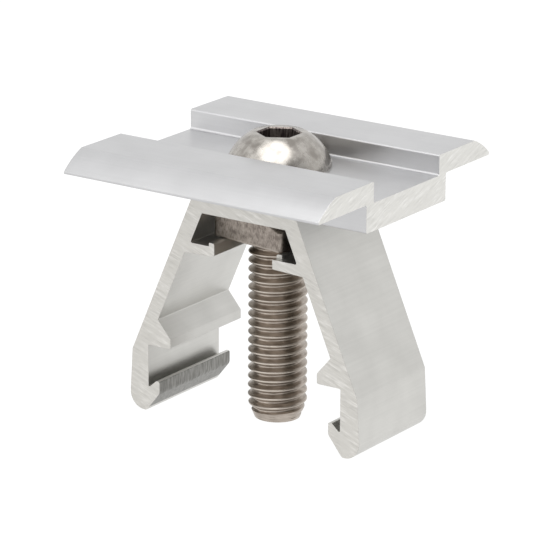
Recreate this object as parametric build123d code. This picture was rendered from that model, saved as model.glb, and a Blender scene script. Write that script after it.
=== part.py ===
from build123d import *
import os
from math import cos, radians, sqrt, tan

# Mid clamp for framed solar panels: a cap that presses on two panel frames, a splayed
# bracket that grips the rail between its legs, a button head bolt and a captive square nut.
# Millimetres. +Z is up, X runs along the cap, Y along the bracket's extrusion (the rail).
# The origin lies under the bolt, level with the bracket's feet.

# Bolt: M8 button head with a hexagon socket
thread_diameter = 8.0
thread_pitch = 1.25
thread_depth = 0.7              # grooves stand for the helix, one to each pitch
thread_neck = 3.5               # plain length under the head, or a little more
bolt_length = 35.0              # from under the head to the end
bolt_end_taper = 1.6            # length of the lead-in at the end
bolt_end_diameter = 6.6
head_diameter = 14.0
head_height = 4.4
head_rim = 0.45                 # the short upright edge below the dome
head_flat_diameter = 7.4        # flat left on top of the dome
head_bulge = 0.5                # how far the dome stands out from a straight cone
socket_across_flats = 5.0
socket_turn = 30.0              # a corner of the hexagon from +X, as the tightened bolt stands
socket_depth = 2.6
socket_lead_in = 0.25           # bevel round the mouth of the socket
socket_point_angle = 30.0       # slope of the drilled point below the hexagon

# Square nut, thin pattern
nut_width = 13.0
nut_thickness = 3.8
nut_corner_radius = 0.9
nut_bevel_diameter = 15.2       # circle the corners are bevelled down from, on the upper side
nut_bevel_angle = 38.0
nut_edge_radius = 0.3           # round the lower edge
nut_countersink = 0.35
thread_clearance = 0.05         # radial, between the bolt's crests and the nut's bore

# Cap: one extrusion, sawn to length along X
cap_length = 40.0
cap_width = 40.6                # across the tips of both wings
cap_height = 6.55
cap_top_width = 33.0            # across the flat tops, where the bevelled flanks start
flank_bulge = 0.22              # how far a flank stands out from a straight bevel
wing_underside = 3.8            # height of the wings over the bracket
wing_tip_edge = 0.3             # upright edge left at the wing tip
web_width = 18.9                # block between the two panel frames
channel_width = 15.6
channel_floor = 3.75            # thickness left under the bolt head
bolt_hole_diameter = 9.0        # in the cap and in the bracket's top
cap_edge_radius = 0.25
cap_root_radius = 0.3

# Bracket: one extrusion, sawn to length along Y
bracket_height = 31.5
bracket_depth = 16.3
splay_angle = 23.4              # lean of each leg from upright
top_thickness = 2.15            # roof over the nut
channel_wall = 2.25             # leg thickness beside the nut
leg_wall = 2.0
nut_side_clearance = 0.15       # each side, where the channel is narrowest
nut_depth_clearance = 0.55      # between the nut's underside and the rib
rib_thickness = 1.3
rib_drop = 0.2                  # the rib's underside falls this much from tip to leg
rib_tip_clearance = 0.65        # between a rib's tip and the bolt
rib_lip_height = 0.5
rib_lip_width = 0.85
rib_lip_setback = 1.0           # the right rib's lip starts this far behind the sawn end
knee_height = 8.4               # where the leg turns upright
foot_wall = 2.65                # thickness of the upright part at the knee
foot_flare = 0.5                # outward lean of the foot's outer face below the knee
foot_corner_radius = 2.3
hook_reach = 1.85               # hook tip, in from the foot's inner wall
hook_height = 4.45              # top of the upturned lip
hook_lip_width = 0.55
hook_groove_depth = 0.95
hook_groove_width = 0.25
hook_nose_height = 2.75         # where the hook's underside turns up
foot_flat_width = 2.8           # sole, before its edges are rounded
barb_gap = 4.95                 # rail lip space between the hook and the barb
barb_reach = 3.7                # barb tip, in from the foot's inner wall
barb_tip_height = 1.4
barb_slope = 49.6               # of the barb's upper face, from level
outer_edge_radius = 0.35
bracket_edge_radius = 0.25
inner_corner_radius = 0.2

# Heights of what is stacked on the feet
roof_height = bracket_height - top_thickness
nut_bottom = roof_height - nut_thickness
rib_top = nut_bottom - nut_depth_clearance
cap_bottom = bracket_height
head_seat = cap_bottom + channel_floor


def leg_outer_x(height):
    """Outer face of a leg, from the nut's width outwards."""
    roof_half = nut_width / 2 + nut_side_clearance
    wall = channel_wall / cos(radians(splay_angle))
    return roof_half + wall + (roof_height - height) * tan(radians(splay_angle))


def channel_inner_x(height):
    return leg_outer_x(height) - channel_wall / cos(radians(splay_angle))


def leg_inner_x(height):
    return leg_outer_x(height) - leg_wall / cos(radians(splay_angle))


def mirrored(half):
    """Both halves of a symmetric section, drawn flat, as one face."""
    whole = half + mirror(half, about=Plane.YZ)
    return whole.clean()


def rounded(sketch, corners):
    """Fillet the corners of a section drawn flat, given as (across, up, radius)."""
    for across, up, radius in corners:
        vertex = sketch.vertices().sort_by_distance((across, up, 0))[0]
        sketch = fillet(vertex, radius)
    return sketch


def make_bracket():
    knee_x = leg_outer_x(knee_height)
    foot_inner = knee_x - foot_wall
    foot_outer = knee_x + foot_flare
    hook_x = foot_inner - hook_reach
    lip_inner = hook_x + hook_lip_width
    groove_z = hook_height - hook_groove_depth
    groove_x = foot_inner - hook_groove_width
    sole_x = foot_outer - foot_flat_width
    barb_z = hook_height + barb_gap
    barb_x = foot_inner - barb_reach
    barb_top = barb_z + barb_tip_height
    rib_bottom = rib_top - rib_thickness
    rib_root = rib_bottom - rib_drop
    rib_x = thread_diameter / 2 + rib_tip_clearance
    rib_lip_x = rib_x + rib_lip_width
    rib_lip_top = rib_top + rib_lip_height
    # the barb's upper face climbs until it meets the leg's inner face
    climb = tan(radians(barb_slope))
    lean = tan(radians(splay_angle))
    run = (leg_inner_x(barb_top) - barb_x) / (1 + climb * lean)
    barb_root_x = barb_x + run
    barb_root_z = barb_top + run * climb

    outline = [
        (0, bracket_height),
        (leg_outer_x(bracket_height), bracket_height),
        (knee_x, knee_height),
        (foot_outer, 0),
        (sole_x, 0),
        (hook_x, hook_nose_height),
        (hook_x, hook_height),
        (lip_inner, hook_height),
        (groove_x, groove_z),
        (foot_inner, groove_z),
        (foot_inner, barb_z),
        (barb_x, barb_z),
        (barb_x, barb_top),
        (barb_root_x, barb_root_z),
        (leg_inner_x(rib_root), rib_root),
        (rib_x, rib_bottom),
        (rib_x, rib_lip_top),
        (rib_lip_x, rib_lip_top),
        (rib_lip_x, rib_top),
        (channel_inner_x(rib_top), rib_top),
        (channel_inner_x(roof_height), roof_height),
        (0, roof_height),
    ]
    half = make_face(Polyline(*outline, close=True))
    half = rounded(half, [
        (leg_outer_x(bracket_height), bracket_height, outer_edge_radius),
        (foot_outer, 0, foot_corner_radius),
        (sole_x, 0, 2 * bracket_edge_radius),
        (hook_x, hook_nose_height, 4 * bracket_edge_radius),
        (hook_x, hook_height, bracket_edge_radius),
        (lip_inner, hook_height, bracket_edge_radius / 2),
        (foot_inner, barb_z, inner_corner_radius),
        (barb_x, barb_z, bracket_edge_radius),
        (barb_x, barb_top, bracket_edge_radius),
        (barb_root_x, barb_root_z, inner_corner_radius),
        (leg_inner_x(rib_root), rib_root, inner_corner_radius),
        (rib_x, rib_bottom, bracket_edge_radius),
        (rib_x, rib_lip_top, bracket_edge_radius),
        (channel_inner_x(rib_top), rib_top, inner_corner_radius),
    ])
    section = mirrored(half)
    body = extrude(Plane.XZ * section, bracket_depth / 2, both=True)
    hole = Cylinder(bolt_hole_diameter / 2, 3 * top_thickness)
    body = body - Pos(0, 0, bracket_height - top_thickness / 2) * hole
    on_top = (Align.CENTER, Align.CENTER, Align.MIN)
    gone = Box(2 * rib_lip_width, 2 * rib_lip_setback, rib_lip_height, align=on_top)
    return body - Pos(rib_x + rib_lip_width / 2, -bracket_depth / 2, rib_top) * gone


def flank_middle(top, tip):
    """Middle point of a bevelled flank, pushed outwards by its slight bulge."""
    along_y = tip[0] - top[0]
    along_z = tip[1] - top[1]
    span = sqrt(along_y**2 + along_z**2)
    mid_y = (top[0] + tip[0]) / 2 - along_z / span * flank_bulge
    mid_z = (top[1] + tip[1]) / 2 + along_y / span * flank_bulge
    return mid_y, mid_z


def make_cap():
    channel_half = channel_width / 2
    web_half = web_width / 2
    tip_y = cap_width / 2
    flank_top = (cap_top_width / 2, cap_height)
    flank_tip = (tip_y, wing_underside + wing_tip_edge)
    lines = Polyline(
        flank_tip,
        (tip_y, wing_underside),
        (web_half, wing_underside),
        (web_half, 0),
        (0, 0),
        (0, channel_floor),
        (channel_half, channel_floor),
        (channel_half, cap_height),
        flank_top,
    )
    flank = ThreePointArc(flank_top, flank_middle(flank_top, flank_tip), flank_tip)
    half = make_face(lines.edges() + flank.edges())
    half = rounded(half, [
        (web_half, wing_underside, cap_root_radius),
        (web_half, 0, cap_edge_radius),
        (channel_half, channel_floor, cap_root_radius),
        (channel_half, cap_height, cap_edge_radius),
    ])
    section = mirrored(half)
    body = extrude(Plane.YZ * section, cap_length / 2, both=True)
    body = body - Pos(0, 0, channel_floor / 2) * Cylinder(bolt_hole_diameter / 2, 2 * channel_floor)
    return Pos(0, 0, cap_bottom) * body


def thread_outline(start):
    """Edge of the shank from a height up to the neck, with a groove at each pitch."""
    crest = thread_diameter / 2
    grooves = int((-thread_neck - start) / thread_pitch)
    points = []
    for groove in range(grooves):
        height = start + groove * thread_pitch
        points.append((crest, height))
        points.append((crest - thread_depth, height + thread_pitch / 2))
    points.append((crest, start + grooves * thread_pitch))
    return points


def make_bolt():
    shank = thread_diameter / 2
    flat = head_flat_diameter / 2
    rim = head_diameter / 2
    rise = head_height - head_rim
    span = sqrt((rim - flat) ** 2 + rise**2)
    dome_x = (rim + flat) / 2 + rise / span * head_bulge
    dome_z = head_rim + rise / 2 + (rim - flat) / span * head_bulge
    lower = Polyline(
        (flat, head_height),
        (0, head_height),
        (0, -bolt_length),
        (bolt_end_diameter / 2, -bolt_length),
        *thread_outline(-bolt_length + bolt_end_taper),
        (shank, 0),
        (rim, 0),
        (rim, head_rim),
    )
    dome = ThreePointArc((rim, head_rim), (dome_x, dome_z), (flat, head_height))
    section = make_face(lower.edges() + dome.edges())
    body = revolve(Plane.XZ * section, Axis.Z)
    hexagon = RegularPolygon(socket_across_flats / 2, 6, major_radius=False, rotation=socket_turn)
    socket = extrude(Pos(0, 0, head_height) * hexagon, -socket_depth)
    across_corners = socket_across_flats / cos(radians(30))
    point_depth = socket_across_flats / 2 * tan(radians(socket_point_angle))
    point = Cone(0.01, socket_across_flats / 2, point_depth, align=(Align.CENTER, Align.CENTER, Align.MAX))
    socket = socket + Pos(0, 0, head_height - socket_depth) * point
    mouth = Cone(across_corners / 2 - socket_lead_in, across_corners / 2 + socket_lead_in, 2 * socket_lead_in)
    socket = socket + Pos(0, 0, head_height) * mouth
    return Pos(0, 0, head_seat) * (body - socket)


def make_nut():
    block = extrude(RectangleRounded(nut_width, nut_width, nut_corner_radius), nut_thickness)
    block = fillet(block.edges().group_by(Axis.Z)[0], nut_edge_radius)
    # conical bevel that takes the four upper corners down
    reach = nut_width
    drop = (reach - nut_bevel_diameter / 2) * tan(radians(nut_bevel_angle))
    bevel = Cone(reach, nut_bevel_diameter / 2, drop, align=(Align.CENTER, Align.CENTER, Align.MAX))
    below = Pos(0, 0, -drop) * Cylinder(reach, nut_thickness, align=(Align.CENTER, Align.CENTER, Align.MAX))
    block = block & (Pos(0, 0, nut_thickness) * (bevel + below))
    bore = thread_diameter / 2 + thread_clearance
    hole = Cylinder(bore, 3 * nut_thickness)
    sink = Cone(bore + nut_countersink, bore, nut_countersink, align=(Align.CENTER, Align.CENTER, Align.MIN))
    nut = block - hole - sink - Pos(0, 0, nut_thickness) * Rot(180, 0, 0) * sink
    return Pos(0, 0, nut_bottom) * nut


pieces = {
    "bracket": make_bracket(),
    "square_nut": make_nut(),
    "clamp_cap": make_cap(),
    "bolt": make_bolt(),
}

os.makedirs("parts", exist_ok=True)
for name, piece in pieces.items():
    export_step(piece, f"parts/{name}.step")
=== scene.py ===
from math import ceil, cos, floor, pi, radians, sin

import bmesh
import bpy
from mathutils import Matrix, Vector


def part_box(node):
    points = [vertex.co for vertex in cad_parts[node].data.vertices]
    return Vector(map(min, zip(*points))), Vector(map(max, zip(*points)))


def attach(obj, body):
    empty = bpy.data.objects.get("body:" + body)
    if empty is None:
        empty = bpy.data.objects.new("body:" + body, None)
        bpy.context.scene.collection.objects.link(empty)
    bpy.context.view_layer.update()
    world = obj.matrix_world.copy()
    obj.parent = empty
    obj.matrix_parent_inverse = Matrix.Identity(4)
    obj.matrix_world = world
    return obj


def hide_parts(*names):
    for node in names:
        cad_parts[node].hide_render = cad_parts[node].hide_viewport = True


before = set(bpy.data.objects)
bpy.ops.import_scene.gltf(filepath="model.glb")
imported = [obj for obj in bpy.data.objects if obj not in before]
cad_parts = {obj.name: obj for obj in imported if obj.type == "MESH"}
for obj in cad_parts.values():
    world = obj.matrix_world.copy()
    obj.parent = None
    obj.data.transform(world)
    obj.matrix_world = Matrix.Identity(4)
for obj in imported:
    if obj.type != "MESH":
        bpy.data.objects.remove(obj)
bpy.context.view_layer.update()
mm = 0.001


def linearColour(hexText):
    channels = [int(hexText[i:i + 2], 16) / 255 for i in (1, 3, 5)]
    linear = [c / 12.92 if c <= 0.04045 else ((c + 0.055) / 1.055) ** 2.4 for c in channels]
    return (*linear, 1.0)


def addNode(tree, kind, settings=None, inputs=None, links=None):
    node = tree.nodes.new(kind)
    for name, value in (settings or {}).items():
        setattr(node, name, value)
    for name, value in (inputs or {}).items():
        node.inputs[name].default_value = value
    for name, socket in (links or {}).items():
        tree.links.new(socket, node.inputs[name])
    return node


def newMaterial(name):
    material = bpy.data.materials.new(name)
    material.use_nodes = True
    material.node_tree.nodes.clear()
    return material, material.node_tree


def mixTones(tree, share, tones):
    mixed = addNode(tree, "ShaderNodeMix", {"data_type": "RGBA"},
                    inputs={6: linearColour(tones[0]), 7: linearColour(tones[1])}, links={0: share})
    return mixed.outputs[2]


def addRamp(tree, share, places, tones):
    tone = addNode(tree, "ShaderNodeValToRGB", links={0: share})
    ends = tone.color_ramp.elements
    ends[0].position, ends[1].position = places[0], places[2]
    ends[0].color, ends[1].color = linearColour(tones[0]), linearColour(tones[2])
    ends.new(places[1]).color = linearColour(tones[1])
    return tone.outputs[0]


def finishMetal(material, colour, roughness, normal=None):
    # roughness is a number or a socket
    tree = material.node_tree
    inputs, links = {"Metallic": 1.0}, {"Base Color": colour}
    if isinstance(roughness, float):
        inputs["Roughness"] = roughness
    else:
        links["Roughness"] = roughness
    if normal:
        links["Normal"] = normal
    shader = addNode(tree, "ShaderNodeBsdfPrincipled", inputs=inputs, links=links)
    addNode(tree, "ShaderNodeOutputMaterial", links={"Surface": shader.outputs[0]})
    return material


# Extruded aluminium, sawn to length: the die leaves a satin skin with faint lines along the
# extrusion, and the saw leaves brighter, matt ends with broken, slanting tooth marks.
capMetal = {
    "node": "clamp_cap",
    "name": "satinExtrudedAluminium",
    "skin": ("#C3C3C4", "#CACACB"),       # cool grey that mirrors its surroundings softly
    "saw": ("#DCDBD7", "#E6E5E1", "#F6F5F2"),
    "along": 0,                           # axis of the extrusion
    "sawTilt": 20,                        # degrees from level
    "roughness": 0.34,
    "sawRoughness": 0.55,
}
bracketMetal = {
    "node": "bracket",
    "name": "millExtrudedAluminium",
    "skin": ("#CAC9C5", "#D4D3CF"),       # plain mill finish, a shade warmer and duller
    "saw": ("#C4C2BD", "#CFCDC8", "#DFDDD9"),
    "along": 1,
    "sawTilt": 20,
    "roughness": 0.4,
    "sawRoughness": 0.55,
    "hookFace": 15.4 * mm,                # the hooks' inner faces lie inside this, and below hookTop
    "hookTop": 4.4 * mm,
    "hookShadeTone": "#757470",                # painted shade: darker where the hooks' low inner faces get little light
}
dieLineSpacing = 0.35 * mm                # real die lines are finer, these are as fine as shows
dieLineStretch = 0.02                     # share of the pattern's pace left along the extrusion
sawMarkSpacing = 0.28 * mm
sawMarkStretch = 0.12
sawMarkRelief = 0.05 * mm
sawPatchSize = 2.2 * mm                   # the marks come and go over this
# stretch of the upright strokes in the painted shade on the hooks
shadeStrokeStretch = 0.15
cloudSize = 6 * mm                        # slow changes of tone across a face
softEdge = 0.12 * mm
endShare = (0.9, 0.97)                    # how squarely a face looks along the extrusion to be sawn


def sawnTone(tree, metal, here):
    # tooth marks slant across the end: fine across their run and long along it
    tilt = radians(metal["sawTilt"])
    turn = (-tilt, 0, 0) if metal["along"] == 0 else (0, -tilt, 0)
    turned = addNode(tree, "ShaderNodeMapping", inputs={"Rotation": turn}, links={0: here})
    drawn = addNode(tree, "ShaderNodeMapping", inputs={"Scale": (sawMarkStretch, sawMarkStretch, 1)},
                    links={0: turned.outputs[0]})
    marks = addNode(tree, "ShaderNodeTexNoise",
                    inputs={"Scale": 1 / sawMarkSpacing, "Detail": 3.0, "Roughness": 0.65},
                    links={"Vector": drawn.outputs[0]})
    patch = addNode(tree, "ShaderNodeTexNoise",
                    inputs={"Scale": 1 / sawPatchSize, "Detail": 4.0, "Roughness": 0.6},
                    links={"Vector": here})
    depth = addNode(tree, "ShaderNodeMapRange", inputs={1: 0.4, 2: 0.62, 3: 0.15, 4: 1.0},
                    links={0: patch.outputs[0]})
    centred = addNode(tree, "ShaderNodeMath", {"operation": "SUBTRACT"}, inputs={1: 0.5},
                      links={0: marks.outputs[0]})
    broken = addNode(tree, "ShaderNodeMath", {"operation": "MULTIPLY_ADD"}, inputs={2: 0.5},
                     links={0: centred.outputs[0], 1: depth.outputs[0]})
    tone = addRamp(tree, broken.outputs[0], (0.36, 0.5, 0.66), metal["saw"])
    return tone, broken.outputs[0]


def skinTone(tree, metal, here):
    stretch = [1, 1, 1]
    stretch[metal["along"]] = dieLineStretch
    drawn = addNode(tree, "ShaderNodeMapping", inputs={"Scale": stretch}, links={0: here})
    lines = addNode(tree, "ShaderNodeTexNoise", inputs={"Scale": 1 / dieLineSpacing, "Detail": 2.0},
                    links={"Vector": drawn.outputs[0]})
    cloud = addNode(tree, "ShaderNodeTexNoise", inputs={"Scale": 1 / cloudSize, "Detail": 3.0},
                    links={"Vector": here})
    blend = addNode(tree, "ShaderNodeMath", {"operation": "MULTIPLY_ADD"}, inputs={1: 0.4},
                    links={0: lines.outputs[0], 2: cloud.outputs[0]})
    share = addNode(tree, "ShaderNodeMapRange", inputs={1: 0.5, 2: 0.9}, links={0: blend.outputs[0]})
    return mixTones(tree, share.outputs[0], metal["skin"])


def shadedHookFaces(tree, metal, here, skin):
    # painted shade: the faces that turn to the bolt at the feet are painted darker, in upright strokes
    size = addNode(tree, "ShaderNodeVectorMath", {"operation": "ABSOLUTE"}, links={0: here})
    parts = addNode(tree, "ShaderNodeSeparateXYZ", links={0: size.outputs[0]})
    inner = addNode(tree, "ShaderNodeMath", {"operation": "LESS_THAN"}, inputs={1: metal["hookFace"]},
                    links={0: parts.outputs[0]})
    low = addNode(tree, "ShaderNodeMath", {"operation": "LESS_THAN"}, inputs={1: metal["hookTop"]},
                  links={0: parts.outputs[2]})
    both = addNode(tree, "ShaderNodeMath", {"operation": "MULTIPLY"},
                   links={0: inner.outputs[0], 1: low.outputs[0]})
    upright = addNode(tree, "ShaderNodeMapping", inputs={"Scale": (1, 1, shadeStrokeStretch)}, links={0: here})
    strokes = addNode(tree, "ShaderNodeTexNoise", inputs={"Scale": 1 / sawMarkSpacing, "Detail": 3.0},
                      links={"Vector": upright.outputs[0]})
    share = addNode(tree, "ShaderNodeMapRange", inputs={1: 0.35, 2: 0.65, 3: 1.0, 4: 0.7},
                    links={0: strokes.outputs[0]})
    shadeShare = addNode(tree, "ShaderNodeMath", {"operation": "MULTIPLY"},
                  links={0: share.outputs[0], 1: both.outputs[0]})
    # painted shade mixed into the skin on the hooks' low inner faces
    worn = addNode(tree, "ShaderNodeMix", {"data_type": "RGBA"}, inputs={7: linearColour(metal["hookShadeTone"])},
                   links={0: shadeShare.outputs[0], 6: skin})
    return worn.outputs[2]


def extrudedAluminium(metal):
    material, tree = newMaterial(metal["name"])
    place = addNode(tree, "ShaderNodeTexCoord")
    here = place.outputs["Object"]
    parts = addNode(tree, "ShaderNodeSeparateXYZ", links={0: place.outputs["Normal"]})
    square = addNode(tree, "ShaderNodeMath", {"operation": "ABSOLUTE"},
                     links={0: parts.outputs[metal["along"]]})
    sawn = addNode(tree, "ShaderNodeMapRange", inputs={1: endShare[0], 2: endShare[1]},
                   links={0: square.outputs[0]})
    skin = skinTone(tree, metal, here)
    # painted shade on the bracket's hooks
    if "hookFace" in metal:
        skin = shadedHookFaces(tree, metal, here, skin)
    saw, marks = sawnTone(tree, metal, here)
    colour = addNode(tree, "ShaderNodeMix", {"data_type": "RGBA"},
                     links={0: sawn.outputs[0], 6: skin, 7: saw})
    rough = addNode(tree, "ShaderNodeMapRange", inputs={3: metal["roughness"], 4: metal["sawRoughness"]},
                    links={0: sawn.outputs[0]})
    relief = addNode(tree, "ShaderNodeMath", {"operation": "MULTIPLY"}, links={0: marks, 1: sawn.outputs[0]})
    edge = addNode(tree, "ShaderNodeBevel", {"samples": 4}, inputs={"Radius": softEdge})
    bump = addNode(tree, "ShaderNodeBump", inputs={"Strength": 0.3, "Distance": sawMarkRelief},
                   links={"Height": relief.outputs[0], "Normal": edge.outputs[0]})
    return finishMetal(material, colour.outputs[2], rough.outputs[0], bump.outputs[0])


def dressExtrusions():
    for metal in (capMetal, bracketMetal):
        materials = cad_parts[metal["node"]].data.materials
        materials.clear()
        materials.append(extrudedAluminium(metal))
    print("extrusions dressed")


def addRing(mesh, z, steps, start, radiusAt):
    ring = []
    for step in range(steps):
        angle = start + 2 * pi * step / steps
        radius = radiusAt(angle)
        ring.append(mesh.verts.new((radius * cos(angle), radius * sin(angle), z)))
    return ring


def joinRings(mesh, rings):
    for lower, upper in zip(rings, rings[1:]):
        for step in range(len(lower)):
            after = (step + 1) % len(lower)
            mesh.faces.new((lower[step], lower[after], upper[after], upper[step]))


def addPiece(mesh, name, sharpAngle, materials):
    bmesh.ops.recalc_face_normals(mesh, faces=mesh.faces)
    data = bpy.data.meshes.new(name)
    mesh.to_mesh(data)
    mesh.free()
    data.set_sharp_from_angle(angle=radians(sharpAngle))
    piece = bpy.data.objects.new(name, data)
    bpy.context.scene.collection.objects.link(piece)
    for material in materials:
        piece.data.materials.append(material)
    print(name, "built with", len(data.polygons), "faces")
    return piece


# Square nut: tightening has turned it clockwise, and its upper corners are bevelled just enough to
# clear the channel's walls
nut = {
    "width": 12.4 * mm,
    "cornerRadius": 0.8 * mm,
    "turn": -9,
    "bevelRadius": 6.7 * mm,          # circle at the top that the corners are bevelled down from
    "bevelSlope": 0.65,               # fall of the bevel for each millimetre outwards
    "bevelRings": 10,
    "edgeRadius": 0.3 * mm,
    "edgeRings": 4,
    "boreRadius": 4.05 * mm,
    "countersink": 0.35 * mm,
    "sharpestCorner": 0.05 * mm,
    "steps": 360,
    "tones": ("#766D66", "#938A82", "#ABA299"),
    # painted highlight along the nut's rounded lower edge
    "lowerEdgeHighlight": "#BDB3A9",
    "dragSpacing": 0.13 * mm,         # upright drag marks from the press
    "dragStretch": 0.3,
    "dragRelief": 0.04 * mm,
    "patchSize": 0.8 * mm,
    "roughness": 0.42,
}


def roundedSquare(inset):
    # radius of the nut's outline by direction, drawn in by the inset
    half = nut["width"] / 2 - inset
    corner = max(nut["cornerRadius"] - inset, nut["sharpestCorner"])
    flat = half - corner

    def radiusAt(angle):
        local = (angle - radians(nut["turn"]) + pi / 4) % (pi / 2) - pi / 4
        across, along = cos(local), abs(sin(local))
        if half * along / across <= flat:
            return half / across
        reach = flat * (across + along)
        return reach + (corner ** 2 - 2 * flat ** 2 + reach ** 2) ** 0.5
    return radiusAt


def buildNut():
    low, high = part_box("square_nut")
    bore = nut["boreRadius"]
    sink = nut["countersink"]
    outline = roundedSquare(0)
    mesh = bmesh.new()

    def ringAt(z, radiusAt):
        return addRing(mesh, z, nut["steps"], 0, radiusAt)

    rings = [ringAt(low.z + sink, lambda angle: bore), ringAt(low.z, lambda angle: bore + sink)]
    for ring in range(nut["edgeRings"] + 1):
        swing = pi / 2 * ring / nut["edgeRings"]
        inset = nut["edgeRadius"] * (1 - sin(swing))
        rings.append(ringAt(low.z + nut["edgeRadius"] * (1 - cos(swing)), roundedSquare(inset)))
    cornerReach = outline(radians(nut["turn"]) + pi / 4)
    drop = (cornerReach - nut["bevelRadius"]) * nut["bevelSlope"]
    for ring in range(nut["bevelRings"] + 1):
        below = drop * (1 - ring / nut["bevelRings"])
        limit = nut["bevelRadius"] + below / nut["bevelSlope"]
        rings.append(ringAt(high.z - below, lambda angle: min(outline(angle), limit)))
    rings.append(ringAt(high.z, lambda angle: bore + sink))
    rings.append(ringAt(high.z - sink, lambda angle: bore))
    rings.append(rings[0])
    joinRings(mesh, rings)
    for face in mesh.faces:
        face.smooth = True
    piece = addPiece(mesh, "turnedNut", 25, [blankedStainless()])
    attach(piece, "base")
    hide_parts("square_nut")


def blankedStainless():
    # blanked stainless: side faces brown-grey and mottled, with upright drag marks from the
    # press, and a painted highlight that lightens the lower edge
    material, tree = newMaterial("blankedStainless")
    place = addNode(tree, "ShaderNodeTexCoord")
    here = place.outputs["Object"]
    upright = addNode(tree, "ShaderNodeMapping", inputs={"Scale": (1, 1, nut["dragStretch"])},
                      links={0: here})
    drag = addNode(tree, "ShaderNodeTexNoise",
                   inputs={"Scale": 1 / nut["dragSpacing"], "Detail": 3.0, "Roughness": 0.6},
                   links={"Vector": upright.outputs[0]})
    patch = addNode(tree, "ShaderNodeTexNoise",
                    inputs={"Scale": 1 / nut["patchSize"], "Detail": 4.0, "Roughness": 0.6},
                    links={"Vector": here})
    blend = addNode(tree, "ShaderNodeMath", {"operation": "ADD"},
                    links={0: drag.outputs[0], 1: patch.outputs[0]})
    half = addNode(tree, "ShaderNodeMath", {"operation": "MULTIPLY"}, inputs={1: 0.5},
                   links={0: blend.outputs[0]})
    tone = addRamp(tree, half.outputs[0], (0.4, 0.5, 0.62), nut["tones"])
    low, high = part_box("square_nut")
    parts = addNode(tree, "ShaderNodeSeparateXYZ", links={0: here})
    # painted highlight: lighter along the rounded lower edge
    edge = addNode(tree, "ShaderNodeMapRange",
                   inputs={1: low.z + 1.3 * nut["edgeRadius"], 2: low.z + 0.6 * nut["edgeRadius"],
                           3: 0.0, 4: 0.8},
                   links={0: parts.outputs[2]})
    colour = addNode(tree, "ShaderNodeMix", {"data_type": "RGBA"}, inputs={7: linearColour(nut["lowerEdgeHighlight"])},
                     links={0: edge.outputs[0], 6: tone})
    bump = addNode(tree, "ShaderNodeBump", inputs={"Strength": 0.4, "Distance": nut["dragRelief"]},
                   links={"Height": drag.outputs[0]})
    return finishMetal(material, colour.outputs[2], nut["roughness"], bump.outputs[0])


bolt = {
    "pitch": 1.25 * mm,              # M8 coarse thread, right-handed
    "crestRadius": 3.98 * mm,
    "rootRadius": 3.2 * mm,
    "stepsPerTurn": 96,
    "crestHeight": 23.42 * mm,       # a crest stands at this height on the side given by crestAngle
    "crestAngle": 213.75,
    "endTaper": 2.2 * mm,            # the last turns lean in towards the point
    "endRadius": 3.1 * mm,
    "neck": 0.8 * mm,                # plain length under the head
    "headRadius": 7.0 * mm,
    "headHeight": 4.4 * mm,
    "rimHeight": 0.45 * mm,
    "flatRadius": 3.7 * mm,
    "domeBulge": 0.5 * mm,
    "domeRings": 24,
    "socketAcrossFlats": 5.0 * mm,
    "socketTurn": 30,
    "socketLeadIn": 0.18 * mm,
    "socketDepth": 2.6 * mm,
    "socketPoint": 0.9 * mm,
    "mergeGap": 0.0005 * mm,
    "foldedEdge": 0.0002 * mm,
}
# the thread's section: share of the pitch from a crest, and share of the depth down to the root
threadSection = [(0, 0), (0.05, 0.01), (0.09, 0.07), (0.235, 0.5), (0.38, 0.93), (0.44, 0.99), (0.5, 1)]


def threadRows():
    rising = [(1 - share, depth) for share, depth in reversed(threadSection[1:-1])]
    return threadSection + rising


def shankRadius(depth, z, low, seat):
    span = bolt["crestRadius"] - bolt["rootRadius"]
    radius = bolt["crestRadius"] - span * depth
    lean = min((z - low) / bolt["endTaper"], 1)
    radius = min(radius, bolt["endRadius"] + (bolt["crestRadius"] - bolt["endRadius"]) * lean)
    runOut = min(max((z - (seat - bolt["neck"] - bolt["pitch"])) / bolt["pitch"], 0), 1)
    return radius + (bolt["crestRadius"] - radius) * runOut


def addShank(mesh, low, seat):
    steps = bolt["stepsPerTurn"]
    pitch = bolt["pitch"]
    first = floor((low - bolt["crestHeight"]) / pitch) - 2
    last = ceil((seat - bolt["crestHeight"]) / pitch) + 2
    rings = []
    for turn in range(first, last):
        for share, depth in threadRows():
            ring = []
            for step in range(steps + 1):
                around = step / steps
                angle = radians(bolt["crestAngle"]) + 2 * pi * around
                z = bolt["crestHeight"] + pitch * (turn + share + around)
                z = min(max(z, low), seat)
                radius = shankRadius(depth, z, low, seat)
                ring.append(mesh.verts.new((radius * cos(angle), radius * sin(angle), z)))
            rings.append(ring)
    for lower, upper in zip(rings, rings[1:]):
        for step in range(steps):
            mesh.faces.new((lower[step], lower[step + 1], upper[step + 1], upper[step]))


def boltRing(mesh, z, radiusAt):
    return addRing(mesh, z, bolt["stepsPerTurn"], radians(bolt["crestAngle"]), radiusAt)


def hexagonRadius(acrossFlats):
    # radius of a hexagon by direction, with a corner at the socket's turn
    def radiusAt(angle):
        fromFlat = (angle - radians(bolt["socketTurn"])) % (pi / 3) - pi / 6
        return acrossFlats / 2 / cos(fromFlat)
    return radiusAt


def domeProfile():
    start = Vector((bolt["headRadius"], bolt["rimHeight"]))
    end = Vector((bolt["flatRadius"], bolt["headHeight"]))
    outward = Vector((end.y - start.y, start.x - end.x)).normalized()
    points = []
    for ring in range(bolt["domeRings"] + 1):
        share = ring / bolt["domeRings"]
        point = start.lerp(end, share) + outward * bolt["domeBulge"] * 4 * share * (1 - share)
        points.append((point.x, point.y))
    return points


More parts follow.
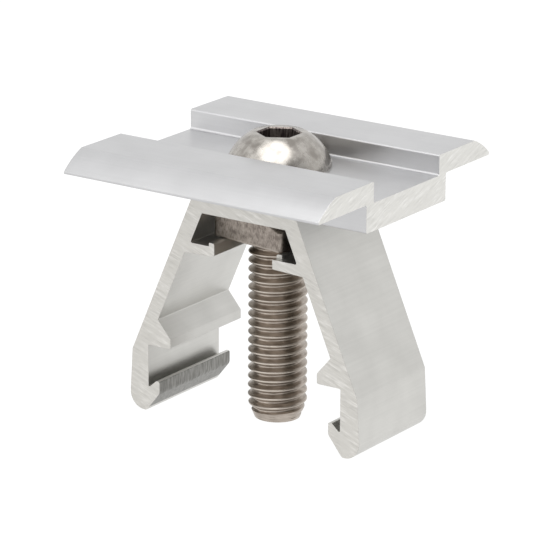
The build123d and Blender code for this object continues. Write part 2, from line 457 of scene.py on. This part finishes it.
def addHead(mesh, seat):
    top = bolt["headHeight"]
    outer = [(bolt["crestRadius"], 0), (bolt["headRadius"], 0)] + domeProfile()
    rings = [boltRing(mesh, seat + height, lambda angle: radius) for radius, height in outer]
    flats = bolt["socketAcrossFlats"]
    leadIn = bolt["socketLeadIn"]
    rings.append(boltRing(mesh, seat + top, hexagonRadius(flats + 2 * leadIn)))
    rings.append(boltRing(mesh, seat + top - leadIn, hexagonRadius(flats)))
    rings.append(boltRing(mesh, seat + top - bolt["socketDepth"], hexagonRadius(flats)))
    joinRings(mesh, rings)
    closeRing(mesh, rings[-1], seat + top - bolt["socketDepth"] - bolt["socketPoint"])


def closeRing(mesh, ring, z):
    centre = mesh.verts.new((0, 0, z))
    for step in range(len(ring)):
        mesh.faces.new((ring[step], ring[(step + 1) % len(ring)], centre))


def finishOf(face, seat):
    # 0 rolled thread, 1 polished head, 2 punched socket with its lead-in
    centre = face.calc_center_median()
    mouth = bolt["socketAcrossFlats"] / cos(pi / 6) / 2 + bolt["socketLeadIn"] / 2
    inside = Vector(centre[:2]).length < mouth
    if inside and seat < centre.z < seat + bolt["headHeight"] - bolt["socketLeadIn"] / 4:
        return 2
    return 1 if centre.z > seat - bolt["neck"] else 0


def buildBolt():
    low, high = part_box("bolt")
    seat = high.z - bolt["headHeight"]
    mesh = bmesh.new()
    addShank(mesh, low.z, seat)
    addHead(mesh, seat)
    closeRing(mesh, boltRing(mesh, low.z, lambda angle: bolt["endRadius"]), low.z)
    # one turn's seam meets the next, and what ran past the ends folds away
    bmesh.ops.remove_doubles(mesh, verts=mesh.verts, dist=bolt["mergeGap"])
    bmesh.ops.dissolve_degenerate(mesh, dist=bolt["foldedEdge"], edges=mesh.edges)
    for face in mesh.faces:
        face.smooth = True
        face.material_index = finishOf(face, seat)
    piece = addPiece(mesh, "threadedBolt", 40, [rolledStainless(), polishedStainless(), forgedSocket()])
    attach(piece, "bolt")
    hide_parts("bolt")


boltMetal = {
    "thread": ("#93897F", "#B9AFA5"),
    "crestTone": "#BEB5AB",
    "crestToneDepth": (0.1 * mm, 0.02 * mm),   # below the crests: where the lighter tone starts and is full
    "threadPatch": 2.0 * mm,
    "rollSpacing": 0.14 * mm,             # fine lines that the rolling dies leave along the thread
    "rollStretch": 0.12,
    "threadRoughness": 0.3,
    "head": ("#938E88", "#B9B5AF"),
    "headPatch": 1.4 * mm,
    "headRoughness": (0.18, 0.32),
    # dark tones: painted shade in the socket's recess
    "socket": ("#4F4646", "#8D857F"),
    "socketRoughness": 0.45,
    "punchSpacing": 0.3 * mm,
    "punchStretch": 0.15,
}


def rolledStainless():
    # cold rolled thread: smooth flanks browned by the lubricant, with lighter crests
    material, tree = newMaterial("rolledStainless")
    place = addNode(tree, "ShaderNodeTexCoord")
    here = place.outputs["Object"]
    patch = addNode(tree, "ShaderNodeTexNoise",
                    inputs={"Scale": 1 / boltMetal["threadPatch"], "Detail": 4.0}, links={"Vector": here})
    stretch = boltMetal["rollStretch"]
    level = addNode(tree, "ShaderNodeMapping", inputs={"Scale": (stretch, stretch, 1)}, links={0: here})
    rolled = addNode(tree, "ShaderNodeTexNoise",
                     inputs={"Scale": 1 / boltMetal["rollSpacing"], "Detail": 2.0},
                     links={"Vector": level.outputs[0]})
    both = addNode(tree, "ShaderNodeMath", {"operation": "ADD"},
                   links={0: patch.outputs[0], 1: rolled.outputs[0]})
    share = addNode(tree, "ShaderNodeMapRange", inputs={1: 0.75, 2: 1.25}, links={0: both.outputs[0]})
    flank = mixTones(tree, share.outputs[0], boltMetal["thread"])
    flat = addNode(tree, "ShaderNodeVectorMath", {"operation": "MULTIPLY"}, inputs={1: (1, 1, 0)},
                   links={0: here})
    radius = addNode(tree, "ShaderNodeVectorMath", {"operation": "LENGTH"}, links={0: flat.outputs[0]})
    start, full = boltMetal["crestToneDepth"]
    crest = addNode(tree, "ShaderNodeMapRange",
                    inputs={1: bolt["crestRadius"] - start, 2: bolt["crestRadius"] - full},
                    links={0: radius.outputs["Value"]})
    colour = addNode(tree, "ShaderNodeMix", {"data_type": "RGBA"},
                     inputs={7: linearColour(boltMetal["crestTone"])}, links={0: crest.outputs[0], 6: flank})
    return finishMetal(material, colour.outputs[2], boltMetal["threadRoughness"])


def polishedStainless():
    # tumbled and polished head: a clear, slightly broken mirror
    material, tree = newMaterial("polishedStainless")
    place = addNode(tree, "ShaderNodeTexCoord")
    patch = addNode(tree, "ShaderNodeTexNoise", inputs={"Scale": 1 / boltMetal["headPatch"], "Detail": 5.0},
                    links={"Vector": place.outputs["Object"]})
    share = addNode(tree, "ShaderNodeMapRange", inputs={1: 0.35, 2: 0.65}, links={0: patch.outputs[0]})
    colour = mixTones(tree, share.outputs[0], boltMetal["head"])
    smooth, worn = boltMetal["headRoughness"]
    rough = addNode(tree, "ShaderNodeMapRange", inputs={3: smooth, 4: worn}, links={0: share.outputs[0]})
    return finishMetal(material, colour, rough.outputs[0])


def forgedSocket():
    # punched hexagon: dull, because the polish doesn't reach it, with upright streaks left by the punch;
    # its dark tones are painted shade in the recess
    material, tree = newMaterial("forgedSocket")
    place = addNode(tree, "ShaderNodeTexCoord")
    upright = addNode(tree, "ShaderNodeMapping", inputs={"Scale": (1, 1, boltMetal["punchStretch"])},
                      links={0: place.outputs["Object"]})
    streaks = addNode(tree, "ShaderNodeTexNoise",
                      inputs={"Scale": 1 / boltMetal["punchSpacing"], "Detail": 3.0},
                      links={"Vector": upright.outputs[0]})
    share = addNode(tree, "ShaderNodeMapRange", inputs={1: 0.4, 2: 0.6}, links={0: streaks.outputs[0]})
    socketShadeTone = mixTones(tree, share.outputs[0], boltMetal["socket"])
    return finishMetal(material, socketShadeTone, boltMetal["socketRoughness"])


view = {
    "azimuth": 34.55,
    "elevation": 17.52,
    "roll": 0.37,
    "distance": 0.462,
    "target": (0.00179, -0.00288, 0.02077),
    "lens": 227.4,
    "sensorWidth": 36,
    "clipStart": 0.01,
}


def addCamera():
    azimuth = radians(view["azimuth"])
    elevation = radians(view["elevation"])
    roll = radians(view["roll"])
    back = Vector((sin(azimuth) * cos(elevation), -cos(azimuth) * cos(elevation), sin(elevation)))
    right = Vector((cos(azimuth), sin(azimuth), 0))
    up = back.cross(right)
    rightRolled = right * cos(roll) + up * sin(roll)
    upRolled = up * cos(roll) - right * sin(roll)
    camera = bpy.data.cameras.new("camera")
    camera.lens = view["lens"]
    camera.sensor_width = view["sensorWidth"]
    camera.clip_start = view["clipStart"]
    holder = bpy.data.objects.new("camera", camera)
    turn = Matrix((rightRolled, upRolled, back)).transposed().to_4x4()
    holder.matrix_world = Matrix.Translation(Vector(view["target"]) + back * view["distance"]) @ turn
    bpy.context.scene.collection.objects.link(holder)
    bpy.context.scene.camera = holder
    print("camera placed")


studio = {
    "dayLevel": 0.62,                        # light of the surroundings on matt surfaces
    "darkSide": (0.86, -0.33, 0.28),         # the unlit end of the room
    "darkLevel": 0.42,
    "darkEdge": (0.72, 0.97),                # how nearly a ray heads there: where dark starts and is full
    "paper": 0.85,
    "paperGlow": 0.9,                        # share of the floor that is plain white to the eye
    "glowLevel": 1.1,
    "floorSize": 4,
}
softboxes = {
    "overheadBox": {"place": (0.05, -0.20, 0.60), "size": 0.65, "power": 2.5},
    "frontBox": {"place": (-0.36, -0.50, 0.20), "size": 0.6, "power": 0.5},
}


def seenRays(tree):
    # 1 for what the camera sees, directly, in metal or through glass
    path = addNode(tree, "ShaderNodeLightPath")
    mirrored = addNode(tree, "ShaderNodeMath", {"operation": "MAXIMUM"},
                       links={0: path.outputs["Is Glossy Ray"], 1: path.outputs["Is Transmission Ray"]})
    seen = addNode(tree, "ShaderNodeMath", {"operation": "MAXIMUM"},
                   links={0: path.outputs["Is Camera Ray"], 1: mirrored.outputs[0]})
    return seen.outputs[0]


def addRoom():
    world = bpy.data.worlds.new("room")
    bpy.context.scene.world = world
    world.use_nodes = True
    tree = world.node_tree
    tree.nodes.clear()
    place = addNode(tree, "ShaderNodeTexCoord")
    towards = addNode(tree, "ShaderNodeVectorMath", {"operation": "DOT_PRODUCT"},
                      inputs={1: Vector(studio["darkSide"]).normalized()},
                      links={0: place.outputs["Generated"]})
    start, full = studio["darkEdge"]
    shade = addNode(tree, "ShaderNodeMapRange", {"interpolation_type": "SMOOTHSTEP"},
                    inputs={1: start, 2: full, 3: 1.0, 4: studio["darkLevel"]},
                    links={0: towards.outputs["Value"]})
    level = addNode(tree, "ShaderNodeMapRange", inputs={3: studio["dayLevel"], 4: 1.0},
                    links={0: seenRays(tree)})
    strength = addNode(tree, "ShaderNodeMath", {"operation": "MULTIPLY"},
                       links={0: shade.outputs[0], 1: level.outputs[0]})
    shader = addNode(tree, "ShaderNodeBackground", inputs={"Color": (1, 1, 1, 1)},
                     links={"Strength": strength.outputs[0]})
    addNode(tree, "ShaderNodeOutputWorld", links={"Surface": shader.outputs[0]})


def addSoftbox(name, box):
    lamp = bpy.data.lights.new(name, "AREA")
    lamp.shape = "DISK"
    lamp.size = box["size"]
    lamp.energy = box["power"]
    holder = bpy.data.objects.new(name, lamp)
    place = Vector(box["place"])
    holder.location = place
    holder.rotation_euler = (-place).to_track_quat("-Z", "Y").to_euler()
    bpy.context.scene.collection.objects.link(holder)


def addFloor():
    bpy.ops.mesh.primitive_plane_add(size=studio["floorSize"], location=(0, 0, 0))
    sheet = bpy.context.object
    sheet.name = "floor"
    material, tree = newMaterial("paperWhite")
    share = addNode(tree, "ShaderNodeMath", {"operation": "MULTIPLY"}, inputs={1: studio["paperGlow"]},
                    links={0: seenRays(tree)})
    tone = studio["paper"]
    paper = addNode(tree, "ShaderNodeBsdfDiffuse", inputs={"Color": (tone, tone, tone, 1)})
    glow = addNode(tree, "ShaderNodeEmission",
                   inputs={"Color": (1, 1, 1, 1), "Strength": studio["glowLevel"]})
    mixed = addNode(tree, "ShaderNodeMixShader",
                    links={0: share.outputs[0], 1: paper.outputs[0], 2: glow.outputs[0]})
    addNode(tree, "ShaderNodeOutputMaterial", links={"Surface": mixed.outputs[0]})
    sheet.data.materials.append(material)


dressExtrusions()
buildNut()
buildBolt()
addCamera()
addRoom()
for name, box in softboxes.items():
    addSoftbox(name, box)
addFloor()
bpy.context.scene.view_settings.view_transform = "Standard"
print("studio ready")
